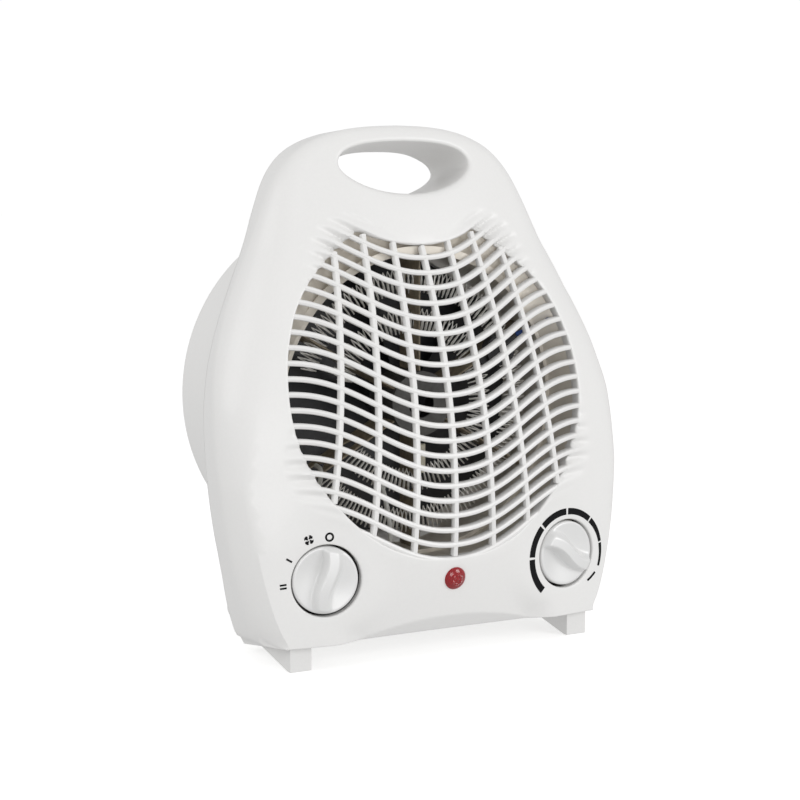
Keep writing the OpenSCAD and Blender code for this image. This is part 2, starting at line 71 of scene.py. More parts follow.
# controls and lamp
KNOB_X, KNOB_Y, KNOB_Z, KNOB_R = 66.8, 4.5, 44.0, 16.1
RECESS_SHIFT = (0.7, -0.4)
RECESS_R = KNOB_R + 1.2
CONTROL_TILT = math.radians(8)
PAD_DROP, PAD_FLAT, PAD_FADE = 1.0, 23.5, 14.0
LAMP_Z = 39.2
LAMP_LEAN = math.atan((BULGE_Z - LAMP_Z) / LEAN_R)

# wave grille
PITCH = 7.17
BAR_Z0 = 54.5
BAR_H = 2.5
BAR_SHOWN, BAR_DEPTH = 2.8, 5.2
BAR_SINK = 0.15
RIB_W, RIB_DEPTH, RIB_SINK = 3.0, 3.2, 0.4
GRILLE_HW = 79.3
WAVE_H = 25.0

# strength of the white surroundings as a light, above and below
AMBIENT, AMBIENT_LOW = 0.70, 0.66


# ---------------------------------------------------------------- small maths
def smooth(a, b, t):
    t = np.clip((np.asarray(t, float) - a) / (b - a), 0, 1)
    return t * t * (3 - 2 * t)


def step5(t):
    t = np.clip(t, 0, 1)
    return t * t * t * (10 + t * (6 * t - 15))


def catmull(points, steps, closed=False):
    p = np.asarray(points, float)
    n = len(p)
    out = []
    for i in range(n if closed else n - 1):
        if closed:
            a, b, c, d = p[(i - 1) % n], p[i], p[(i + 1) % n], p[(i + 2) % n]
        else:
            a, b, c = p[max(i - 1, 0)], p[i], p[i + 1]
            d = p[min(i + 2, n - 1)]
        for s in range(steps):
            t = s / steps
            out.append(0.5 * (2 * b + (c - a) * t + (2 * a - 5 * b + 4 * c - d) * t * t
                              + (3 * b - a - 3 * c + d) * t ** 3))
    if not closed:
        out.append(p[-1])
    return np.array(out)


def resample(loop, spacing):
    """Closed loop with about equal spacing, starting at the same point."""
    p = np.vstack([loop, loop[:1]])
    d = np.concatenate([[0], np.cumsum(np.linalg.norm(np.diff(p, axis=0), axis=1))])
    n = max(8, int(round(d[-1] / spacing)))
    t = np.linspace(0, d[-1], n, endpoint=False)
    return np.column_stack([np.interp(t, d, p[:, k]) for k in range(p.shape[1])])


def normals_in(loop):
    """Unit normals in the plane of a clockwise or anticlockwise loop, towards its inside."""
    t = np.roll(loop, -1, 0) - np.roll(loop, 1, 0)
    n = np.column_stack([-t[:, 1], t[:, 0]])
    n /= np.linalg.norm(n, axis=1)[:, None]
    x, z = loop[:, 0], loop[:, 1]
    area = np.sum(x * np.roll(z, -1) - np.roll(x, -1) * z)
    return n if area > 0 else -n


def inside(points, loop):
    """Which points lie inside a closed polygon."""
    x, z = points[:, 0], points[:, 1]
    hit = np.zeros(len(points), bool)
    a, b = loop, np.roll(loop, -1, 0)
    for (x0, z0), (x1, z1) in zip(a, b):
        if z0 == z1:
            continue
        cross = ((z0 > z) != (z1 > z)) & (x < (x1 - x0) * (z - z0) / (z1 - z0) + x0)
        hit ^= cross
    return hit


def distance_to(points, loop):
    """Distance from points to the nearest side of a closed polygon."""
    best = np.full(len(points), 1e9)
    for a, b in zip(loop, np.roll(loop, -1, 0)):
        ab = b - a
        t = np.clip(((points - a) @ ab) / max(ab @ ab, 1e-12), 0, 1)
        best = np.minimum(best, np.linalg.norm(points - a - t[:, None] * ab, axis=1))
    return best


# ---------------------------------------------------------------- mesh makers
class Build:
    """Vertices and faces of one piece, in millimetres."""

    def __init__(self):
        self.v = []
        self.f = []

    def add(self, points):
        start = len(self.v)
        self.v.extend([tuple(map(float, p)) for p in points])
        return list(range(start, len(self.v)))

    def strip(self, a, b, closed=True):
        n = len(a)
        for i in range(n if closed else n - 1):
            j = (i + 1) % n
            self.f.append((a[i], a[j], b[j], b[i]))

    def loft(self, rings, closed=True, cap=False):
        ids = [self.add(r) for r in rings]
        for a, b in zip(ids, ids[1:]):
            self.strip(a, b, closed)
        if cap:
            self.f.append(tuple(reversed(ids[0])))
            self.f.append(tuple(ids[-1]))
        return ids

    def revolve(self, profile, steps):
        """Closed profile of (radius, depth), turned about the fan's axis."""
        rings = []
        for i in range(steps):
            a = 2 * math.pi * i / steps
            rings.append([(r * math.cos(a), y, AXIS_Z + r * math.sin(a)) for r, y in profile])
        ids = [self.add(r) for r in rings]
        for i in range(steps):
            self.strip(ids[i], ids[(i + 1) % steps])

    def box(self, x0, x1, y0, y1, z0, z1):
        i = self.add([(x, y, z) for x in (x0, x1) for y in (y0, y1) for z in (z0, z1)])
        for q in ((0, 1, 3, 2), (4, 6, 7, 5), (0, 4, 5, 1), (2, 3, 7, 6), (0, 2, 6, 4),
                  (1, 5, 7, 3)):
            self.f.append(tuple(i[k] for k in q))


def new_object(name, data):
    ob = bpy.data.objects.new(name, data)
    scene.collection.objects.link(ob)
    return ob


def to_mesh(name, build):
    me = bpy.data.meshes.new(name)
    pts = [(x * MM, (y - MID_Y) * MM, z * MM) for x, y, z in build.v]
    me.from_pydata(pts, [], build.f)
    bm = bmesh.new()
    bm.from_mesh(me)
    bmesh.ops.remove_doubles(bm, verts=bm.verts, dist=2e-6)
    bmesh.ops.dissolve_degenerate(bm, edges=bm.edges, dist=2e-6)
    bmesh.ops.recalc_face_normals(bm, faces=bm.faces)
    bm.to_mesh(me)
    bm.free()
    return me


def shade(me, angle=31):
    bm = bmesh.new()
    bm.from_mesh(me)
    limit = math.radians(angle)
    for f in bm.faces:
        f.smooth = True
    for e in bm.edges:
        e.smooth = not (len(e.link_faces) == 2 and e.calc_face_angle(0) > limit)
    bm.to_mesh(me)
    bm.free()


def piece(name, build, material, body, nodes=(), angle=31):
    me = build if isinstance(build, bpy.types.Mesh) else to_mesh(name, build)
    shade(me, angle)
    me.materials.clear()
    me.materials.append(material)
    ob = new_object(name, me)
    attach(ob, body)
    if nodes:
        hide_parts(*nodes)
    return ob


def apply_modifiers(ob):
    dg = bpy.context.evaluated_depsgraph_get()
    me = bpy.data.meshes.new_from_object(ob.evaluated_get(dg))
    old = ob.data
    ob.modifiers.clear()
    ob.data = me
    bpy.data.meshes.remove(old)


def walled(name, build, wall):
    """An open skin given a wall on its inner side."""
    ob = new_object(name, to_mesh(name, build))
    solid = ob.modifiers.new("wall", "SOLIDIFY")
    solid.thickness = wall * MM
    solid.offset = -1
    apply_modifiers(ob)
    return ob


# ---------------------------------------------------------------- materials
ROUGH_SPREAD = 0.06


def material(name, color, rough, spread=0.02, speck=0.0, grain=900.0, bump=0.0,
             bump_scale=1200.0, metallic=0.0, coat=0.0, large=18.0, streak=(1, 1, 1), **sockets):
    """Moulded, sheet or wire surface: colour that drifts by spread in patches of scale large and
    is specked at scale grain, roughness that varies with the patches, and a fine bump."""
    m = bpy.data.materials.new(name)
    m.use_nodes = True
    nt = m.node_tree
    n, link = nt.nodes, nt.links
    shader = n["Principled BSDF"]
    coord = n.new("ShaderNodeTexCoord")
    mapping = n.new("ShaderNodeMapping")
    mapping.inputs["Scale"].default_value = streak
    link.new(coord.outputs["Object"], mapping.inputs["Vector"])
    broad = n.new("ShaderNodeTexNoise")
    broad.inputs["Scale"].default_value = large
    broad.inputs["Detail"].default_value = 4
    fine = n.new("ShaderNodeTexNoise")
    fine.inputs["Scale"].default_value = grain
    fine.inputs["Detail"].default_value = 3
    for t in (broad, fine):
        link.new(mapping.outputs["Vector"], t.inputs["Vector"])
    ramp = n.new("ShaderNodeMix")
    ramp.data_type = "RGBA"
    low = [max(0, c * (1 - spread)) for c in color]
    high = [min(1, c * (1 + spread)) for c in color]
    ramp.inputs["A"].default_value = (*low, 1)
    ramp.inputs["B"].default_value = (*high, 1)
    link.new(broad.outputs["Fac"], ramp.inputs["Factor"])
    tone = n.new("ShaderNodeMix")
    tone.data_type = "RGBA"
    tone.blend_type = "MULTIPLY"
    tone.inputs["Factor"].default_value = 1.0
    spots = n.new("ShaderNodeMapRange")
    spots.inputs["From Min"].default_value = 0.35
    spots.inputs["From Max"].default_value = 0.65
    spots.inputs["To Min"].default_value = 1 - speck
    spots.inputs["To Max"].default_value = 1.0
    link.new(fine.outputs["Fac"], spots.inputs["Value"])
    link.new(ramp.outputs["Result"], tone.inputs["A"])
    link.new(spots.outputs["Result"], tone.inputs["B"])
    link.new(tone.outputs["Result"], shader.inputs["Base Color"])
    rr = n.new("ShaderNodeMapRange")
    rr.inputs["To Min"].default_value = max(0.02, rough - ROUGH_SPREAD)
    rr.inputs["To Max"].default_value = min(1.0, rough + ROUGH_SPREAD)
    link.new(broad.outputs["Fac"], rr.inputs["Value"])
    link.new(rr.outputs["Result"], shader.inputs["Roughness"])
    if bump:
        tex = n.new("ShaderNodeTexNoise")
        tex.inputs["Scale"].default_value = bump_scale
        tex.inputs["Detail"].default_value = 5
        link.new(mapping.outputs["Vector"], tex.inputs["Vector"])
        bp = n.new("ShaderNodeBump")
        bp.inputs["Strength"].default_value = bump
        bp.inputs["Distance"].default_value = 0.0002
        link.new(tex.outputs["Fac"], bp.inputs["Height"])
        link.new(bp.outputs["Normal"], shader.inputs["Normal"])
    shader.inputs["Metallic"].default_value = metallic
    shader.inputs["Coat Weight"].default_value = coat
    for key, value in sockets.items():
        shader.inputs[key.replace("_", " ")].default_value = value
    return m


MAT = {
    "casing_white": material("casing_plastic", (0.80, 0.795, 0.785), 0.36, 0.012, 0.012, 700,
                             0.10, 1600, coat=0.04),
    "foot_white": material("foot_plastic", (0.77, 0.765, 0.755), 0.46, 0.015, 0.02, 700, 0.12,
                           1500),
    "knob_pearl": material("knob_pearl", (0.78, 0.78, 0.775), 0.42, 0.012, 0.02, 2600,
                           metallic=0.25),
    "steel": material("zinc_steel", (0.46, 0.46, 0.45), 0.38, 0.08, 0.10, 500, 0.15, 900,
                      metallic=1.0),
    "sheet_metal": material("galvanised_sheet", (0.80, 0.75, 0.67), 0.45, 0.06, 0.05, 260, 0.10,
                            500, metallic=0.15, large=60),
    "dark_plastic": material("black_thermoset", (0.022, 0.022, 0.024), 0.45, 0.2, 0.2, 900, 0.2),
    "ivory_ceramic": material("ivory_ceramic", (0.66, 0.62, 0.5), 0.3, 0.04, 0.06, 800, 0.1,
                              coat=0.3),
    "mica": material("mica_sheet", (0.30, 0.25, 0.18), 0.5, 0.25, 0.3, 420, 0.3, 700, large=90),
    "heating_wire": material("nichrome_wire", (0.92, 0.87, 0.81), 0.3, 0.2, 0.15, 600,
                             metallic=0.4, large=120),
    "fan_plastic": material("fan_plastic", (0.035, 0.036, 0.04), 0.42, 0.15, 0.15, 900, 0.15),
    "lamination": material("laminated_steel", (0.16, 0.16, 0.165), 0.5, 0.2, 0.35, 60, 0.5, 90,
                           metallic=0.8, streak=(0.05, 40, 0.05)),
    "copper": material("copper_winding", (0.42, 0.17, 0.07), 0.35, 0.15, 0.25, 200, 0.5, 300,
                       metallic=0.9, streak=(1, 12, 1)),
    "brass": material("brass", (0.62, 0.44, 0.18), 0.3, 0.08, 0.08, 600, 0.1, metallic=1.0),
    "gland_grey": material("soft_gland", (0.6, 0.6, 0.59), 0.6, 0.03, 0.05, 900, 0.25),
    "lead_brown": material("lead_brown", (0.10, 0.035, 0.015), 0.5, 0.1, 0.1, 900, 0.1),
    "lead_white": material("lead_white", (0.66, 0.66, 0.63), 0.5, 0.03, 0.05, 900, 0.1),
    "lead_blue": material("lead_blue", (0.02, 0.07, 0.28), 0.5, 0.1, 0.1, 900, 0.1),
    "neon_glass": material("neon_glass", (0.95, 0.7, 0.5), 0.08, 0.05, 0.02, 900,
                           Transmission_Weight=0.8, IOR=1.45),
    "lens_red": material("lens_red", (0.50, 0.003, 0.012), 0.12, 0.10, 0.05, 900,
                         Transmission_Weight=0.45, IOR=1.49, coat=0.3),
    "ink_black": material("printed_ink", (0.006, 0.006, 0.007), 0.6, 0.2, 0.1, 1200, 0.05,
                          Specular_IOR_Level=0.12),
}
# a darker copy of the steel for the element's hub alone: painted shade, for the hub deep inside
# the duct
HUB_STEEL_PAINTED_SHADE = material("steel_painted_shade", (0.15, 0.148, 0.143), 0.6, 0.12, 0.15, 400, 0.2, 800,
                     metallic=0.8)
SLOT_OF = {r["node"]: r["material_slot"] for r in frame["record"]["subparts"]}
for node_name, node_obj in frame["nodes"].items():
    node_obj.data.materials.clear()
    node_obj.data.materials.append(HUB_STEEL_PAINTED_SHADE if node_name == "element_hub"
                                   else MAT[SLOT_OF[node_name]])
for node_name in ("front_feet", "rear_feet"):
    soften = frame["nodes"][node_name].modifiers.new("soften", "BEVEL")
    soften.width = 0.8 * MM
    soften.segments = 3


# ---------------------------------------------------------------- the casing's outer form
def front_line(z):
    z = np.asarray(z, float)
    bow = FRONT_Y + (z - BULGE_Z) ** 2 / (2 * LEAN_R)
    top = FRONT_Y + (STRAIGHT_Z - BULGE_Z) ** 2 / (2 * LEAN_R) + STRAIGHT_SLOPE * (z - STRAIGHT_Z)
    return np.where(z < STRAIGHT_Z, bow, top)


def face_y(x, z):
    """Depth of the plain bowed front at (x, z)."""
    r = BOW_R - (front_line(z) - FRONT_Y)
    return FRONT_Y + BOW_R - np.sqrt(r ** 2 - np.asarray(x, float) ** 2)


REAR_LINE = catmull([(61, 0), (61, 60), (62.2, 100), (69, 150), (75, 190), (81, 218), (85.5, 240),
                     (87, 262)], 8)


def rear_y(z):
    return np.interp(z, REAR_LINE[:, 1], REAR_LINE[:, 0])


def mirror_half(half):
    """Closed loop from a half running from the top centre down the right side to the base."""
    right = np.asarray(half, float)
    left = right[::-1].copy()
    left[:, 0] *= -1
    keep = np.abs(left[:, 0]) > 1e-6
    return np.vstack([right, left[keep]])


OUTLINE_SIDE = [(0, 255.8), (16, 255.2), (30, 253.4), (42, 250), (52, 245), (60, 238), (66.5, 229),
                (73, 216), (80, 200), (88, 184), (96.5, 166), (104, 146), (108.3, 125),
                (109.5, 105), (108.5, 82), (105, 56), (100, 34), (95.5, 21), (91.5, 14.2),
                (86, BASE_Z)]
half_outline = np.vstack([catmull(OUTLINE_SIDE, 6), [(x, BASE_Z) for x in range(82, -1, -4)],
                          [(0, BASE_Z)]])
OUTLINE = resample(mirror_half(half_outline), 3.0)
OUT_N = normals_in(OUTLINE)
ON_BASE = OUTLINE[:, 1] < BASE_Z + 0.6
# The side rolls forward into the panel: below the waist it meets it at a crisp edge, above in
# a full round. EDGE_IN is how far in from the outline the panel starts, EDGE_TURN the arc's angle.
EDGE_IN = np.interp(OUTLINE[:, 1], [12.0, 14.2, 88, 112, 140, 175, 200, 225, 245, 256],
                    [2.0, 7.2, 7.3, 12, 18, 20, 15, 10, 6.5, 5.5])
EDGE_TURN = np.radians(np.interp(OUTLINE[:, 1], [12, 60, 90, 125], [50, 52, 60, 90]))
EDGE_IN[ON_BASE] = 0.6
EDGE_TURN[ON_BASE] = math.pi / 2
EDGE_R = EDGE_IN / (1 - np.cos(EDGE_TURN))
# low down the crisp edge runs straight to the base, so it is set in sideways and not square on
sideways = np.where(ON_BASE, 0.0, 1 - smooth(45, 75, OUTLINE[:, 1]))[:, None]
to_middle = np.column_stack([-np.sign(OUTLINE[:, 0]), np.zeros(len(OUTLINE))])
EDGE_N = OUT_N * (1 - sideways) + to_middle * sideways
SIDE_DRAFT = np.interp(OUTLINE[:, 1], [12, 40, 150, 215, 256], [3.0, 5.0, 5.0, 3.0, 1.5])
SIDE_DRAFT[ON_BASE] = 0.0
DROP_SHARE = np.interp(OUTLINE[:, 1], [12, 50], [1.0, 0.0])


def bevel_lip(x, z):
    """Arched bevel along the front's lower edge."""
    arch = BASE_Z + LIP_H * np.clip(1 - (np.asarray(x, float) / LIP_HALF_W) ** 2, 0, None)
    d = np.clip(arch - z, 0, None)
    return 0.62 * d * smooth(0, 0.8, d)


def pad_blend(x, z, y):
    """The lower corners run flat, in the tilted plane that each control sits in."""
    ax = np.abs(np.asarray(x, float))
    z = np.asarray(z, float)
    dx = ax - KNOB_X
    plane = KNOB_Y + PAD_DROP + dx * math.tan(CONTROL_TILT)
    plane = plane + 0.011 * np.clip(dx - 18, 0, None) ** 2
    round_share = 1 - smooth(PAD_FLAT, PAD_FLAT + PAD_FADE, np.hypot(dx, z - KNOB_Z))
    corner = smooth(44, 62, ax) * (1 - smooth(56, 92, z))
    return y + (plane - y) * np.maximum(round_share, corner)


def wave(x):
    """How far the bars rise from the middle towards the sides."""
    t = np.abs(x) / GRILLE_HW
    t = np.clip(t, 0, 1)
    return WAVE_H * (step5(t) + smooth(0, 1, t)) / 2


# the grille's opening
RIM_HALF = [(0, 198), (14.5, 199.4), (25, 202.2), (32, 204.6), (38.5, 200.5), (46, 195),
            (53.5, 189), (62, 181), (70, 169.5), (75, 157), (78, 145), (79.3, 131), (78.8, 119),
            (76.3, 107), (72, 97), (66.5, 86.7), (60.3, 78.8), (52.3, 70.2), (43.3, 62.6),
            (32, 56), (17, 50.9), (0, 49.6)]
RIM = resample(mirror_half(catmull(RIM_HALF, 6)), 2.0)
RIM_N = normals_in(RIM)
# where the flutes run out into the panel: x, z and spread of each pair of corners
UPPER_CORNER = (43, 200, 15.0)
LOWER_CORNER = (72, 94, 13.0)


def corner_share(x, z, corner):
    """1 at a corner of the opening, falling to 0 away from it."""
    return np.exp(-((np.abs(x) - corner[0]) ** 2 + (z - corner[1]) ** 2) / (2 * corner[2] ** 2))


def grooves(x, z, rim_distance):
    """Flutes that carry the spaces between the bars out into the panel, and fade away."""
    phase = (z - wave(x) - BAR_H / 2 - BAR_Z0) / PITCH
    u = np.abs(phase - np.round(phase)) * PITCH
    depth = 0
    for corner, deepest, reach in ((UPPER_CORNER, 4.6, 19.0), (LOWER_CORNER, 3.0, 20.0)):
        share = corner_share(x, z, corner)
        fade = np.clip(1 - rim_distance / (1.5 + reach * share), 0, 1) ** 1.3
        depth = depth + deepest * share * fade
    return depth * smooth(0.5, 3.4, u)


def panel_y(x, z, rim_distance=None):
    y = pad_blend(x, z, face_y(x, z)) + bevel_lip(x, z)
    if rim_distance is not None:
        y = y + grooves(x, z, rim_distance)
    return y


def side_ring(depth_share):
    """Side wall at a share of the depth from the edge round to the covers' joint."""
    x, z = OUTLINE[:, 0], OUTLINE[:, 1]
    y0 = panel_y(x, z) + EDGE_R * np.sin(EDGE_TURN)
    y1 = rear_y(z) - SEAM
    y = y0 + (y1 - y0) * depth_share
    p = OUTLINE + OUT_N * (SIDE_DRAFT * depth_share)[:, None]
    drop = BASE_SLOPE * np.clip(y - BASE_Y, 0, None) * DROP_SHARE
    return np.column_stack([p[:, 0], y, p[:, 1] - drop])


def edge_rings():
    """The roll from the side wall's front edge to the front panel."""
    rings = []
    for share in np.linspace(0, 1, 10)[1:]:
        turn = EDGE_TURN * share
        p = OUTLINE + EDGE_N * (EDGE_R * (1 - np.cos(turn)))[:, None]
        y = panel_y(p[:, 0], p[:, 1]) + EDGE_R * (np.sin(EDGE_TURN) - np.sin(turn))
        rings.append(np.column_stack([p[:, 0], y, p[:, 1]]))
    return rings


# ---------------------------------------------------------------- holes in the front
HOLE_FRONT = [(0, 247.9), (12, 247.5), (23, 246.2), (31.5, 243.4), (35.6, 239.4), (35.6, 235.2),
              (32.0, 231.2), (25.5, 227.4), (17.5, 224.6), (9, 223.0), (0, 222.4)]
HOLE_BACK = [(0, 242.6), (9, 242.4), (17, 241.4), (23.5, 239.2), (29.4, 235.8), (31.8, 232.2),
             (31.4, 229.4), (28.2, 226.4), (22.6, 223.4), (12, 219.8), (0, 218.6)]
HOLE_POINTS = 84


def even_loop(half):
    loop = mirror_half(catmull(half, 8))
    total = np.sum(np.linalg.norm(np.roll(loop, -1, 0) - loop, axis=1))
    return resample(loop, total / HOLE_POINTS)


HOLE = even_loop(HOLE_FRONT)
HOLE_END = even_loop(HOLE_BACK)
HOLE_N = normals_in(HOLE)
HOLE_END_N = normals_in(HOLE_END)
HOLE_R = np.interp(HOLE[:, 1], [222, 232, 240, 248], [3.0, 2.6, 2.2, 2.2])


def hand_hole_rings(back):
    """From the panel, over the round, then straight to the hole's rear loop at back(z)."""
    rings = []
    for a in np.linspace(90, 0, 6):
        a = math.radians(a)
        p = HOLE - HOLE_N * (HOLE_R * (1 - math.cos(a)))[:, None]
        y = panel_y(p[:, 0], p[:, 1]) + HOLE_R * (1 - math.sin(a))
        rings.append(np.column_stack([p[:, 0], y, p[:, 1]]))
    start = rings[-1]
    end = np.column_stack([HOLE_END[:, 0], back(HOLE_END[:, 1]), HOLE_END[:, 1]])
    for t in np.linspace(0, 1, 7)[1:]:
        rings.append(start + (end - start) * t)
    return rings


def tilted_frame(s):
    """Centre and axes of the left (s = -1) or right control: across, up and inwards."""
    a = s * CONTROL_TILT
    across = np.array([math.cos(a), math.sin(a), 0])
    inward = np.array([-math.sin(a), math.cos(a), 0])
    return np.array([s * KNOB_X, KNOB_Y, KNOB_Z]), across, np.array([0, 0, 1.0]), inward


def on_panel(centre, across, up, inward, u, v, extra=0.0):
    """Point above or below the panel that lies at (u, v) in a control's own plane."""
    p = centre + across * u + up * v
    for _ in range(12):
        gap = float(panel_y(p[0], p[2])) + extra - p[1]
        p = p + inward * gap / inward[1]
    return p


def round_hole_rings(centre, across, up, inward, radius, edge, depth, steps):
    """Panel edge, small round and wall of a round hole. depth is below the control's plane."""
    angles = np.linspace(0, 2 * math.pi, steps, endpoint=False)
    rings = []
    for k in range(4):
        a = math.pi / 2 * (1 - k / 3)
        r = radius + edge * (1 - math.cos(a))
        sink = edge * (1 - math.sin(a))
        ring = [on_panel(centre, across, up, inward, r * math.cos(t), r * math.sin(t))
                + inward * sink for t in angles]
        rings.append(np.array(ring))
    for d in (depth * 0.5, depth):
        rings.append(np.array([centre + across * radius * math.cos(t)
                               + up * radius * math.sin(t) + inward * d for t in angles]))
    return rings


def fill_panel(build, outer_ids, outer_xz, holes, height, spacing, fine=None):
    """Triangles between an outer loop and hole loops, with inner points lifted by height(x, z)."""
    loops = [(outer_ids, outer_xz)] + holes
    coords = []
    edges = []
    known = []
    for ids, xz in loops:
        start = len(coords)
        coords.extend([Vector((float(a), float(b))) for a, b in xz])
        known.extend(ids)
        n = len(ids)
        edges.extend([(start + i, start + (i + 1) % n) for i in range(n)])
    lo, hi = outer_xz.min(0), outer_xz.max(0)
    rows = []
    z = lo[1] + spacing
    odd = False
    while z < hi[1]:
        xs = np.arange(lo[0] + (spacing / 2 if odd else 0), hi[0], spacing)
        rows.append(np.column_stack([xs, np.full(len(xs), z)]))
        z += spacing * 0.87
        odd = not odd
    grid = np.vstack(rows)
    tree = KDTree(len(coords))
    for i, c in enumerate(coords):
        tree.insert((c[0], c[1], 0), i)
    tree.balance()

    def allowed(points, clear):
        ok = inside(points, outer_xz)
        for _, xz in holes:
            ok &= ~inside(points, xz)
        points = points[ok]
        far = [tree.find((p[0], p[1], 0))[2] > clear for p in points]
        return points[np.array(far, bool)] if len(points) else points

    if fine is not None:
        mask, step = fine
        xs = np.arange(lo[0], hi[0], step)
        zs = np.arange(lo[1], hi[1], step)
        gx, gz = np.meshgrid(xs, zs)
        dense = np.column_stack([gx.ravel(), gz.ravel()])
        dense = dense[mask(dense)]
        grid = grid[~mask(grid)]
        inner = np.vstack([allowed(grid, spacing * 0.45), allowed(dense, step * 0.6)])
    else:
        inner = allowed(grid, spacing * 0.45)
    coords.extend([Vector((float(a), float(b))) for a, b in inner])
    ys = height(inner[:, 0], inner[:, 1])
    new_ids = build.add([(p[0], y, p[1]) for p, y in zip(inner, ys)])
    known = list(known) + new_ids
    verts, _, faces, source, _, _ = delaunay_2d_cdt(coords, edges, [], 0, 1e-5)
    where = []
    for origin, point in zip(source, verts):
        if origin:
            where.append(known[origin[0]])
        else:
            y = float(height(np.array([point[0]]), np.array([point[1]]))[0])
            where.append(build.add([(point[0], y, point[1])])[0])
    tri = np.array([[verts[i][:] for i in f] for f in faces])
    centres = tri.mean(1)
    ok = inside(centres, outer_xz)
    for _, xz in holes:
        ok &= ~inside(centres, xz)
    for f, good in zip(faces, ok):
        if good and len({where[i] for i in f}) == 3:
            build.f.append(tuple(where[i] for i in f))


# ---------------------------------------------------------------- front cover
front = Build()
side_ids = [front.add(side_ring(t)) for t in (1.0, 0.75, 0.5, 0.25, 0.0)]
for a, b in zip(side_ids, side_ids[1:]):
    front.strip(a, b)
last = side_ids[-1]
for ring in edge_rings():
    ids = front.add(ring)
    front.strip(last, ids)
    last = ids
outer_xz = ring[:, [0, 2]]

front_holes = []
# the grille's rim: a small round, fluted at the corners, and a wall behind it
RIM_R, RIM_DEPTH = 1.3, 5.0
rim_rings = []
for k in range(5):
    a = math.pi / 2 * (1 - k / 4)
    p = RIM - RIM_N * RIM_R * (1 - math.cos(a))
    y = panel_y(p[:, 0], p[:, 1], np.zeros(len(p))) + RIM_R * (1 - math.sin(a))
    rim_rings.append(np.column_stack([p[:, 0], y, p[:, 1]]))
rim_rings.append(rim_rings[-1] + np.array([0, RIM_DEPTH, 0]))
rim_ids = front.loft(rim_rings)
front_holes.append((rim_ids[0], rim_rings[0][:, [0, 2]]))


def seam_y(z):
    return rear_y(z) - SEAM


hh_rings = hand_hole_rings(seam_y)
hh_ids = front.loft(hh_rings)
front_holes.append((hh_ids[0], hh_rings[0][:, [0, 2]]))
for s in (-1, 1):
    centre, across, up, inward = tilted_frame(s)
    centre = centre + across * RECESS_SHIFT[0] + up * RECESS_SHIFT[1]
    rings = round_hole_rings(centre, across, up, inward, RECESS_R, 0.9, 5.0, 96)
    ids = front.loft(rings)
    front_holes.append((ids[0], rings[0][:, [0, 2]]))
lamp_centre = np.array([0, 0, LAMP_Z])
lamp_up = np.array([0, -math.sin(LAMP_LEAN), math.cos(LAMP_LEAN)])
lamp_in = np.array([0, math.cos(LAMP_LEAN), math.sin(LAMP_LEAN)])
lamp_across = np.array([1.0, 0, 0])
rings = round_hole_rings(lamp_centre, lamp_across, lamp_up, lamp_in, 5.0, 0.25, 3.0, 40)
ids = front.loft(rings)
front_holes.append((ids[0], rings[0][:, [0, 2]]))


def rim_distance(points):
    return distance_to(points, RIM)


def panel_height(x, z):
    return panel_y(x, z, rim_distance(np.column_stack([x, z])))


def fluted(points):
    """Which points need the finer mesh: in the flutes and along the lower edge's bevel."""
    x, z = points[:, 0], points[:, 1]
    share = np.maximum(corner_share(x, z, UPPER_CORNER), corner_share(x, z, LOWER_CORNER))
    lip = np.abs(z - (BASE_Z + LIP_H * (1 - (x / LIP_HALF_W) ** 2))) < 1.6
    near_flute = (share > 0.06) & (rim_distance(points) < 3 + 20 * share)
    return near_flute | (lip & (np.abs(x) < LIP_HALF_W))


fill_panel(front, last, outer_xz, front_holes, panel_height, 4.0, fine=(fluted, 0.85))
shell = walled("front_shell", front, FRONT_WALL)


# ---------------------------------------------------------------- wave grille
def bar_run(points, height, depth, rear_scale, build):
    """Closed bar along points [x, y, z]: rounded front, straight flanks that narrow backwards."""
    pts = np.asarray(points, float)
    t = np.gradient(pts, axis=0)
    t /= np.linalg.norm(t, axis=1)[:, None]
    back = np.array([0, 1.0, 0])
    side = np.cross(t, back)
    side /= np.linalg.norm(side, axis=1)[:, None]
    inward = np.cross(side, t)
    inward *= np.sign(inward[:, 1])[:, None]
    half = height / 2
    section = [(half * math.cos(a), half * (1 - math.sin(a)) * 0.9)
               for a in np.linspace(0, math.pi, 5)]
    section += [(-half * rear_scale, depth), (half * rear_scale, depth)]
    rings = [np.array([p + sd * u + iw * v for u, v in section])
             for p, sd, iw in zip(pts, side, inward)]
    ids = [build.add(r) for r in rings]
    for a, b in zip(ids, ids[1:]):
        build.strip(a, b)
    build.f.append(tuple(reversed(ids[0])))
    build.f.append(tuple(ids[-1]))


def runs(mask):
    """Start and end of each stretch of True."""
    out = []
    start = None
    for i, m in enumerate(mask):
        if m and start is None:
            start = i
        if start is not None and (not m or i == len(mask) - 1):
            end = i if m else i - 1
            if end > start:
                out.append((start, end))
            start = None
    return out


grille = Build()
# the bars run past the opening's edge into the panel, and the shallower ribs less far
RIM_GROWN = RIM - RIM_N * 2.4
RIM_WALL = RIM - RIM_N * 0.8
for k in range(-4, 23):
    xs = np.arange(-84, 84.01, 1.5)
    zs = BAR_Z0 + PITCH * k + wave(xs) + BAR_H / 2
    xz = np.column_stack([xs, zs])
    for i, j in runs(inside(xz, RIM_GROWN)):
        sel = slice(i, j + 1)
        ys = panel_y(xs[sel], zs[sel]) + BAR_SINK
        bar_run(np.column_stack([xs[sel], ys, zs[sel]]), BAR_SHOWN, BAR_DEPTH, 0.72, grille)
for n in range(-3, 4):
    zs = np.arange(44, 208, 2.0)
    xs = n * (21.4 - 0.045 * (zs - 60))
    xz = np.column_stack([xs, zs])
    for i, j in runs(inside(xz, RIM_WALL)):
        sel = slice(i, j + 1)
        ys = panel_y(xs[sel], zs[sel]) + RIB_SINK
        bar_run(np.column_stack([xs[sel], ys, zs[sel]]), RIB_W, RIB_DEPTH, 0.9, grille)
bars = new_object("bars_tmp", to_mesh("grille_bars", grille))


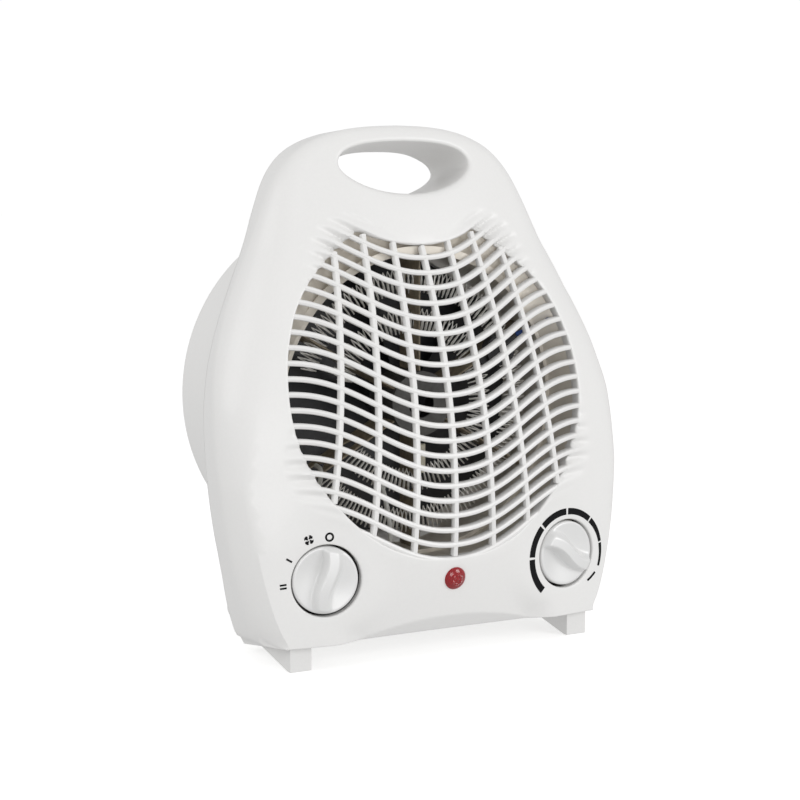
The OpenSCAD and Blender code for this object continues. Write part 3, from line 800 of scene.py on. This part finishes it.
def join(objects, name):
    bm = bmesh.new()
    for o in objects:
        bm.from_mesh(o.data)
    me = bpy.data.meshes.new(name)
    bm.to_mesh(me)
    bm.free()
    for o in objects:
        bpy.data.objects.remove(o)
    return me


front_joined = join([shell, bars], "front_cover_skin")
piece("front_cover_moulding", front_joined, MAT["casing_white"], "casing",
      ["front_cover"])


# ---------------------------------------------------------------- rear cover
rear = Build()
REAR_R = 3.0
rear_rings = []
ring0 = side_ring(1.0)
for a in np.linspace(0, 90, 7):
    a = math.radians(a)
    base = np.column_stack([ring0[:, 0], ring0[:, 2]])
    p = base + OUT_N * REAR_R * (1 - math.cos(a))
    y = seam_y(OUTLINE[:, 1]) + SEAM_GAP + (REAR_R - SEAM_GAP) * math.sin(a)
    rear_rings.append(np.column_stack([p[:, 0], y, p[:, 1]]))
lip = rear_rings[0].copy()
lip[:, :1] += OUT_N[:, :1] * 1.2
lip[:, 2:] += OUT_N[:, 1:] * 1.2
rear_ids = rear.loft([lip] + rear_rings)
rear_xz = rear_rings[-1][:, [0, 2]]
rear_holes = []

HOLE_ROUND = 1.2
hole_back = []
depths = seam_y(HOLE_END[:, 1]) + SEAM_GAP
for k in range(3):
    y = depths + (SEAM - SEAM_GAP - HOLE_ROUND) * k / 2
    hole_back.append(np.column_stack([HOLE_END[:, 0], y, HOLE_END[:, 1]]))
for a in (30, 60, 90):
    a = math.radians(a)
    p = HOLE_END - HOLE_END_N * HOLE_ROUND * (1 - math.cos(a))
    y = rear_y(p[:, 1]) - HOLE_ROUND * (1 - math.sin(a))
    hole_back.append(np.column_stack([p[:, 0], y, p[:, 1]]))
ids = rear.loft(hole_back)
rear_holes.append((ids[-1], hole_back[-1][:, [0, 2]]))
DRUM_HOLE_R = 94.2
ang = np.linspace(0, 2 * math.pi, 160, endpoint=False)
drum_xz = np.column_stack([DRUM_HOLE_R * np.cos(ang), AXIS_Z + DRUM_HOLE_R * np.sin(ang)])
drum_y0 = rear_y(drum_xz[:, 1])
ids = rear.add(np.column_stack([drum_xz[:, 0], drum_y0, drum_xz[:, 1]]))
rear_holes.append((ids, drum_xz))
# recesses over the six casing screws
SCREWS = [(x * s, z) for x, z in ((66, 202), (49, 234), (84, 32)) for s in (-1, 1)]
SCREW_R, SCREW_DEPTH = 4, 5
for sx, sz in SCREWS:
    circle = [(sx + SCREW_R * math.cos(t), sz + SCREW_R * math.sin(t))
              for t in np.linspace(0, 2 * math.pi, 32, endpoint=False)]
    circle = np.array(circle)
    top = np.column_stack([circle[:, 0], rear_y(circle[:, 1]), circle[:, 1]])
    wall = top.copy()
    wall[:, 1] = float(rear_y(sz)) - SCREW_DEPTH
    floor = wall.copy()
    floor[:, 0] = sx + (wall[:, 0] - sx) * 0.5
    floor[:, 2] = sz + (wall[:, 2] - sz) * 0.5
    ids = rear.loft([top, wall, floor])
    rear_holes.append((ids[0], circle))
fill_panel(rear, rear_ids[-1], rear_xz, rear_holes, lambda x, z: rear_y(z), 5.0)
rear_skin = walled("rear_skin", rear, REAR_WALL)

# the drum round the fan: its wall, then the intake's rings, hub and spokes
drum = Build()
EDGE = 9.0
DRUM_IN = DRUM_Y - DRUM_WALL
profile = [(95.9, 56.0), (96.0, 62.0), (95.2, 80.0), (93.9, 100.0)]
profile += [(92.5 - EDGE + EDGE * math.cos(a), DRUM_Y - EDGE + EDGE * math.sin(a))
            for a in np.linspace(0, math.pi / 2, 9)]
profile += [(75.4, DRUM_Y), (74.8, DRUM_Y - 0.4), (74.6, DRUM_IN), (83, DRUM_IN),
            (90, DRUM_Y - EDGE), (91.6, 100), (93.6, 62), (93.6, 56.0)]
drum.revolve(profile, 160)


def rounded_rect(r0, r1, y0, y1, e):
    """Section between two radii and two depths, with corners of radius e."""
    pts = []
    for cx, cy, a0 in ((r1 - e, y1 - e, 0), (r0 + e, y1 - e, 90), (r0 + e, y0 + e, 180),
                       (r1 - e, y0 + e, 270)):
        for a in (a0, a0 + 45, a0 + 90):
            a = math.radians(a)
            pts.append((cx + e * math.cos(a), cy + e * math.sin(a)))
    return pts


for i in range(6):
    drum.revolve(rounded_rect(26.5 + 8 * i, 30 + 8 * i, DRUM_IN, DRUM_Y - 0.7, 0.5), 120)
hub = [(0.01, DRUM_IN), (22, DRUM_IN), (22, DRUM_Y - 0.7), (21.3, DRUM_Y), (0.01, DRUM_Y)]
drum.revolve(hub, 96)
for k in range(8):
    a = math.radians(22.5 + 45 * k)
    along = np.array([math.cos(a), 0, math.sin(a)])
    across = np.array([-math.sin(a), 0, math.cos(a)])
    section = rounded_rect(-3, 3, DRUM_IN - 0.6, DRUM_Y - 0.3, 0.6)
    rings = []
    for r in (19.0, 40.0, 60.0, 77.0):
        rings.append([np.array([0, v, AXIS_Z]) + along * r + across * u for u, v in section])
    drum.loft(rings, cap=True)
drum_ob = new_object("drum_tmp", to_mesh("rear_drum", drum))

# the foot block low at the back, with the bore for the cord's gland
block = Build()
BLOCK_X, BLOCK_Y0, BLOCK_Y1, BLOCK_TOP = 74.0, 59.0, 112.0, 52.0
BLOCK_Z = BASE_Z - BASE_SLOPE * (61 - BASE_Y)
block.box(-BLOCK_X, BLOCK_X, BLOCK_Y0, BLOCK_Y1, BLOCK_Z, BLOCK_TOP)
block_ob = new_object("block_tmp", to_mesh("block", block))
bore = Build()
GLAND_X, GLAND_Z, GLAND_R = 45.0, 30.0, 5.9
bore_profile = [(GLAND_X + GLAND_R * math.cos(t), GLAND_Z + GLAND_R * math.sin(t))
                for t in np.linspace(0, 2 * math.pi, 40, endpoint=False)]
bore.loft([[(x, y, z) for x, z in bore_profile] for y in (100.0, 120.0)], cap=True)
bore_ob = new_object("bore_tmp", to_mesh("bore", bore))
bev = block_ob.modifiers.new("bevel", "BEVEL")
bev.width = 7 * MM
bev.segments = 6
cut = block_ob.modifiers.new("bore", "BOOLEAN")
cut.object = bore_ob
cut.operation = "DIFFERENCE"
cut.solver = "EXACT"
apply_modifiers(block_ob)
bpy.data.objects.remove(bore_ob)
rear_joined = join([rear_skin, drum_ob, block_ob], "rear_cover_skin")
piece("rear_cover_moulding", rear_joined, MAT["casing_white"], "casing",
      ["rear_cover"])


# ---------------------------------------------------------------- knobs
KNOB_SKIRT = 7.6


def knob(s, ridge_angle):
    """Knob with an S-shaped grip between two bowls, the grip turned by ridge_angle."""
    centre, across, up, inward = tilted_frame(s)
    b = Build()
    steps = 144
    radii = np.concatenate([np.linspace(0, 0.9, 40)[1:], [0.925, 0.95, 0.97, 0.985, 0.995, 1.0]])
    t = np.linspace(0, 2 * math.pi, steps, endpoint=False)
    ca, sa = math.cos(ridge_angle), math.sin(ridge_angle)

    def height(u, v):
        """Outward height of the face, with u across the grip and v along it, both in radii."""
        rho = np.sqrt(u * u + v * v)
        mid = 0.11 * np.sin(math.pi * np.clip(v * 0.95, -1, 1))
        d = u - mid
        crest = 4.4 - 2.0 * v * v
        left = 1 - smooth(0.11, 0.26, -d)
        right = 1 - smooth(0.13, 0.42, d)
        grip = crest * np.where(d < 0, left, right)
        low_left = (1 - left) * (0.35 + 0.65 * smooth(-0.8, 0.5, v))
        low_right = (1 - right) * (0.35 + 0.65 * smooth(-0.8, 0.5, -v))
        bowl = -2.8 * (low_left + 0.8 * low_right) * np.clip(1 - rho ** 2, 0, 1)
        edge = 1.3 * (1 - np.sqrt(np.clip(1 - (np.clip(rho - 0.92, 0, None) / 0.08) ** 2, 0, 1)))
        return grip * (1 - smooth(0.86, 1.0, rho)) + bowl - edge

    def point(u, v, h):
        a, c = u * ca + v * sa, -u * sa + v * ca
        return centre + across * a * KNOB_R + up * c * KNOB_R - inward * h

    rings = []
    for r in radii:
        u, v = r * np.cos(t), r * np.sin(t)
        h = height(u, v)
        rings.append([point(a, c, k) for a, c, k in zip(u, v, h)])
    ids = [b.add(r) for r in rings]
    for a, c in zip(ids, ids[1:]):
        b.strip(a, c)
    mid_id = b.add([point(0, 0, float(height(np.array(0.0), np.array(0.0))))])[0]
    for i in range(steps):
        b.f.append((mid_id, ids[0][i], ids[0][(i + 1) % steps]))
    low = [b.add([point(a * k, c * k, -KNOB_SKIRT) for a, c in zip(np.cos(t), np.sin(t))])
           for k in (1, 0.3)]
    b.strip(ids[-1], low[0])
    b.strip(low[0], low[1])
    b.f.append(tuple(low[1]))
    return b


for s, body, angle in ((-1, "switch", 7), (1, "thermostat", -62)):
    name = body + "_knob"
    piece(name + "_moulding", knob(s, math.radians(angle)), MAT["knob_pearl"], body,
          [name], angle=50)


# ---------------------------------------------------------------- printed marks
INK_FRONT, INK_BACK = -0.10, 0.15


def ink_patch(b, s, loop):
    """Thin closed plate over the panel, its outline given in a control's own plane."""
    c = tilted_frame(s)
    front_ring = [on_panel(*c, u, v, INK_FRONT) for u, v in loop]
    back_ring = [on_panel(*c, u, v, INK_BACK) for u, v in loop]
    ids = b.loft([back_ring, front_ring])
    b.f.append(tuple(reversed(ids[0])))
    b.f.append(tuple(ids[1]))


def ink_band(b, s, centre_line, widths):
    """Closed band along centre_line with the given widths, in short pieces that follow the bow."""
    p = np.asarray(centre_line, float)
    t = np.gradient(p, axis=0)
    t /= np.linalg.norm(t, axis=1)[:, None]
    n = np.column_stack([-t[:, 1], t[:, 0]])
    w = np.broadcast_to(widths, (len(p),))
    c = tilted_frame(s)
    rings = []
    for q, m, h in zip(p, n, w):
        a, d = q + m * h / 2, q - m * h / 2
        rings.append([on_panel(*c, *a, INK_FRONT), on_panel(*c, *d, INK_FRONT),
                      on_panel(*c, *d, INK_BACK), on_panel(*c, *a, INK_BACK)])
    b.loft(rings, cap=True)


def polar(radius, degrees):
    a = math.radians(degrees)
    return np.array([radius * math.cos(a), radius * math.sin(a)])


# the thermostat's dial: six segments that narrow clockwise from the lower left, and a tail
scale_print = Build()
RING_OUT = 23.7
RING_SHIFT = np.array([0.4, -1.1])
SEGMENTS = [(227, 179.5), (176.5, 135.5), (132.5, 90.5), (87.5, 48.2), (45.8, 11), (9, -20.8)]
for a0, a1 in SEGMENTS:
    angles = np.linspace(a0, a1, 14)
    widths = np.interp(angles, [-25, 10, 50, 90, 230], [1.3, 1.9, 2.9, 3.3, 3.5])
    line = [polar(RING_OUT - w / 2, a) + RING_SHIFT for a, w in zip(angles, widths)]
    ink_band(scale_print, 1, line, widths)
line = [polar(RING_OUT - 1.4 + (a + 30) * 0.1, a) + RING_SHIFT for a in np.linspace(-30, -46, 8)]
ink_band(scale_print, 1, line, 1.2)
piece("thermostat_scale", scale_print, MAT["ink_black"], "casing")

# the switch's marks: a circle for off, one stroke, two strokes, and a four-bladed fan
marks = Build()
MARK_R = 20.6
spot = polar(MARK_R, 90 - 6)
circle = [spot + polar(1.75, a) for a in np.linspace(0, 360, 33)]
ink_band(marks, -1, circle, 0.95)
for turn, shift, width in ((58.7, 0.0, 0.9), (94.4, -0.8, 0.85), (94.4, 0.8, 0.85)):
    spot = polar(MARK_R, 90 + turn) + polar(shift, turn)
    line = [spot + polar(r, 90 + turn) for r in np.linspace(-1.6, 1.6, 4)]
    ink_band(marks, -1, line, width)
spot = polar(MARK_R + 0.7, 90 + 22)
for k in range(4):
    a = 90 * k + 50
    blade = [spot + polar(r, a + d) for r, d in ((0.3, 30), (0.8, -8), (1.4, -26), (2.0, -26),
                                                 (2.4, -8), (2.45, 20), (2.2, 44), (1.7, 34),
                                                 (1.2, 36), (0.8, 52))]
    ink_patch(marks, -1, blade)
piece("switch_marks", marks, MAT["ink_black"], "casing")


# ---------------------------------------------------------------- lamp lens
lens = Build()
LENS_R, STEM_R, STEM_IN_R = 5.6, 4.7, 3.2
STEM_END = 8.5
rings = []
steps = 72
t = np.linspace(0, 2 * math.pi, steps, endpoint=False)


def lens_ring(radius, depth):
    return [lamp_centre + lamp_across * a * radius + lamp_up * c * radius + lamp_in * depth
            for a, c in zip(np.cos(t), np.sin(t))]


# a dome whose core is cut in three families of facets
for rho in list(np.linspace(0.02, 0.80, 20)) + [0.84, 0.9, 0.95, 0.985, 1.0]:
    u, v = rho * np.cos(t), rho * np.sin(t)
    dome = 0.25 + 3.1 * np.sqrt(np.clip(1 - (rho * 0.94) ** 2, 0, 1)) - 0.9
    k = 5.2
    facet = (np.abs(((u * k) % 2) - 1) + np.abs((((u * 0.5 + v * 0.866) * k) % 2) - 1)
             + np.abs((((u * 0.5 - v * 0.866) * k) % 2) - 1))
    h = dome + 0.30 * facet * (1 - smooth(0.45, 0.66, np.full(steps, rho)))
    rings.append([lamp_centre + lamp_across * a * LENS_R + lamp_up * c * LENS_R - lamp_in * hh
                  for a, c, hh in zip(u, v, h)])
ids = lens.loft(rings)
lens.f.append(tuple(ids[0]))
tail = [lens.add(lens_ring(radius, depth))
        for radius, depth in ((LENS_R, 0.2), (STEM_R, 0.2), (STEM_R, STEM_END),
                              (STEM_IN_R, STEM_END), (STEM_IN_R, 0.4))]
lens.strip(ids[-1], tail[0])
for a, c in zip(tail, tail[1:]):
    lens.strip(a, c)
lens.f.append(tuple(tail[-1]))
piece("lamp_lens_faceted", lens, MAT["lens_red"], "casing", ["lamp_lens"], angle=12)


# ---------------------------------------------------------------- heating coils
# the windings stop short of each other at the left, where their ends go to the terminals
COIL_START, COIL_END = math.radians(-142), math.radians(162)
COIL_Y, COIL_HALF, WIRE_R = 46, 5.8, 0.42


def coil(radius, turns, seed):
    """Resistance wire folded into a zigzag band round the mica arms."""
    b = Build()
    steps = 8
    n = turns * steps
    rng = np.random.default_rng(seed)
    wobble = rng.normal(0, 0.22, (turns + 1, 2))
    wobble[-1] = wobble[0]
    k = np.arange(n) / steps
    w = 2 * math.pi * k
    dr = np.interp(k, range(turns + 1), wobble[:, 0])
    dy = np.interp(k, range(turns + 1), wobble[:, 1])
    fold = np.arcsin(0.985 * np.cos(w)) / 1.4
    r = radius + COIL_HALF * fold + dr
    y = COIL_Y + 1.6 * np.sin(w) + dy
    a = np.linspace(COIL_START, COIL_END, n)
    pts = np.column_stack([r * np.cos(a), y, AXIS_Z + r * np.sin(a)])
    t = np.gradient(pts, axis=0)
    t /= np.linalg.norm(t, axis=1)[:, None]
    u = np.cross(t, np.array([0, 1.0, 0]))
    u /= np.linalg.norm(u, axis=1)[:, None]
    v = np.cross(t, u)
    around = [2 * math.pi * c / 5 for c in range(5)]
    rings = np.array([pts + WIRE_R * (u * math.cos(c) + v * math.sin(c)) for c in around])
    b.loft(rings.transpose(1, 0, 2), cap=True)
    return b


for name, radius, turns, seed in (("outer_coil", 60, 134, 3), ("inner_coil", 40, 90, 5)):
    piece(name + "_winding", coil(radius, turns, seed), MAT["heating_wire"], "casing",
          [name], angle=80)


# ---------------------------------------------------------------- duct collar
# sheet that leads from the grille's opening back to the round duct
collar = Build()
DUCT_Y0, COLLAR_R = 36.0, 75.4
COLLAR_WALL, COLLAR_GAP = 0.9, 6.4
turn = np.arctan2(RIM[:, 1] - AXIS_Z, RIM[:, 0])
back_x, back_z = COLLAR_R * np.cos(turn), AXIS_Z + COLLAR_R * np.sin(turn)
start = face_y(RIM[:, 0], RIM[:, 1]) + COLLAR_GAP
end = np.maximum(DUCT_Y0, start + 2.0)
rings = []
for share in (0.0, 0.12, 0.5, 1.0):
    x = RIM[:, 0] + (back_x - RIM[:, 0]) * share
    z = RIM[:, 1] + (back_z - RIM[:, 1]) * share
    rings.append(np.column_stack([x, start + (end - start) * share, z]))
outer = [r.copy() for r in reversed(rings)]
for r in outer:
    r[:, [0, 2]] -= RIM_N * COLLAR_WALL
ids = collar.loft(rings + outer)
collar.strip(ids[-1], ids[0])
piece("air_duct_collar", collar, MAT["sheet_metal"], "casing")


# ---------------------------------------------------------------- fan
# six broad blades, each swept with its radius and curved across its chord
fan = Build()
FAN_R, HUB_R, BLADES = 70.5, 14.0, 6
FAN_Y0, FAN_Y1 = 62.0, 80.0
for k in range(BLADES):
    rings = []
    for r in np.linspace(HUB_R - 1.5, FAN_R - 0.4, 14):
        f = (r - HUB_R) / (FAN_R - HUB_R)
        half = math.radians(np.interp(f, [-0.1, 0.3, 0.8, 1.0], [34, 40, 40, 37]))
        lead = math.radians(360 / BLADES * k + 10 * f)
        low, high = FAN_Y1 - 1.5 - 2.0 * f, FAN_Y0 + 1.5 + 1.0 * f
        upper, lower = [], []
        for t in np.linspace(-1, 1, 11):
            a = lead + half * t
            y = low + (high - low) * (t + 1) / 2 + 1.8 * (1 - t * t)
            thick = 0.75 * math.sqrt(max(0.0, 1 - 0.92 * t * t))
            upper.append((r * math.cos(a), y - thick, AXIS_Z + r * math.sin(a)))
            lower.append((r * math.cos(a), y + thick, AXIS_Z + r * math.sin(a)))
        rings.append(upper + lower[::-1])
    fan.loft(rings, cap=True)
fan.revolve([(2.1, FAN_Y0 + 3), (HUB_R - 2, FAN_Y0 + 3), (HUB_R - 2, FAN_Y0 + 0.8),
             (HUB_R - 1, FAN_Y0), (HUB_R, FAN_Y0 + 1), (HUB_R, FAN_Y1), (2.1, FAN_Y1)], 72)
piece("fan_impeller_moulding", fan, MAT["fan_plastic"], "fan", ["fan_impeller"])


# ---------------------------------------------------------------- camera, floor and light
# the camera stands at the photograph's viewing angle; these are metres
camera_data = bpy.data.cameras.new("camera")
camera = new_object("camera", camera_data)
camera_data.sensor_width = 36
camera_data.lens = 88.2
camera.location = (-0.4580, -0.8657, 0.2467)
aim = Vector((-0.0158, -0.0340, 0.12365))
camera.rotation_mode = "QUATERNION"
camera.rotation_quaternion = (aim - camera.location).to_track_quat("-Z", "Y")
scene.camera = camera

floor_build = Build()
floor_build.box(-6000, 6000, -6000, 6000, -40, -0.05)
floor = new_object("floor", to_mesh("floor", floor_build))
floor.visible_diffuse = False
floor.visible_glossy = False
floor_mat = material("pale_floor", (0.93, 0.93, 0.925), 0.7, 0.01, 0.0, 50,
                     Emission_Color=(1, 1, 1, 1), Emission_Strength=0.36)
floor.data.materials.append(floor_mat)

world = bpy.data.worlds.new("studio")
scene.world = world
world.use_nodes = True
wn, wl = world.node_tree.nodes, world.node_tree.links
background = wn["Background"]
background.inputs["Color"].default_value = (1, 1, 1, 1)
# The backdrop is seen as white. As a light it is weaker, and weaker still from below.
light_path = wn.new("ShaderNodeLightPath")
sky = wn.new("ShaderNodeTexCoord")
split = wn.new("ShaderNodeSeparateXYZ")
wl.new(sky.outputs["Generated"], split.inputs["Vector"])
height_tone = wn.new("ShaderNodeMapRange")
height_tone.interpolation_type = "SMOOTHSTEP"
height_tone.inputs["From Min"].default_value = -0.45
height_tone.inputs["From Max"].default_value = 0.35
height_tone.inputs["To Min"].default_value = AMBIENT_LOW
height_tone.inputs["To Max"].default_value = AMBIENT
wl.new(split.outputs["Z"], height_tone.inputs["Value"])
strength = wn.new("ShaderNodeMapRange")
strength.inputs["To Max"].default_value = 1.02
wl.new(light_path.outputs["Is Camera Ray"], strength.inputs["Value"])
wl.new(height_tone.outputs["Result"], strength.inputs["To Min"])
wl.new(strength.outputs["Result"], background.inputs["Strength"])


LIGHT_TARGET = (0, 0, 0.12)


def softbox(name, at, size, watts):
    data = bpy.data.lights.new(name, "AREA")
    data.shape = "SQUARE"
    data.size = size
    data.energy = watts
    ob = new_object(name, data)
    ob.location = at
    ob.rotation_mode = "QUATERNION"
    ob.rotation_quaternion = (Vector(LIGHT_TARGET) - Vector(at)).to_track_quat("-Z", "Y")


softbox("key", (0.95, -1.4, 0.72), 0.7, 7.9)
softbox("fill", (-0.35, -1.8, 0.32), 0.7, 5.2)
softbox("left", (-1.5, 0.1, 0.95), 1.0, 6.0)
scene.view_settings.view_transform = "Standard"
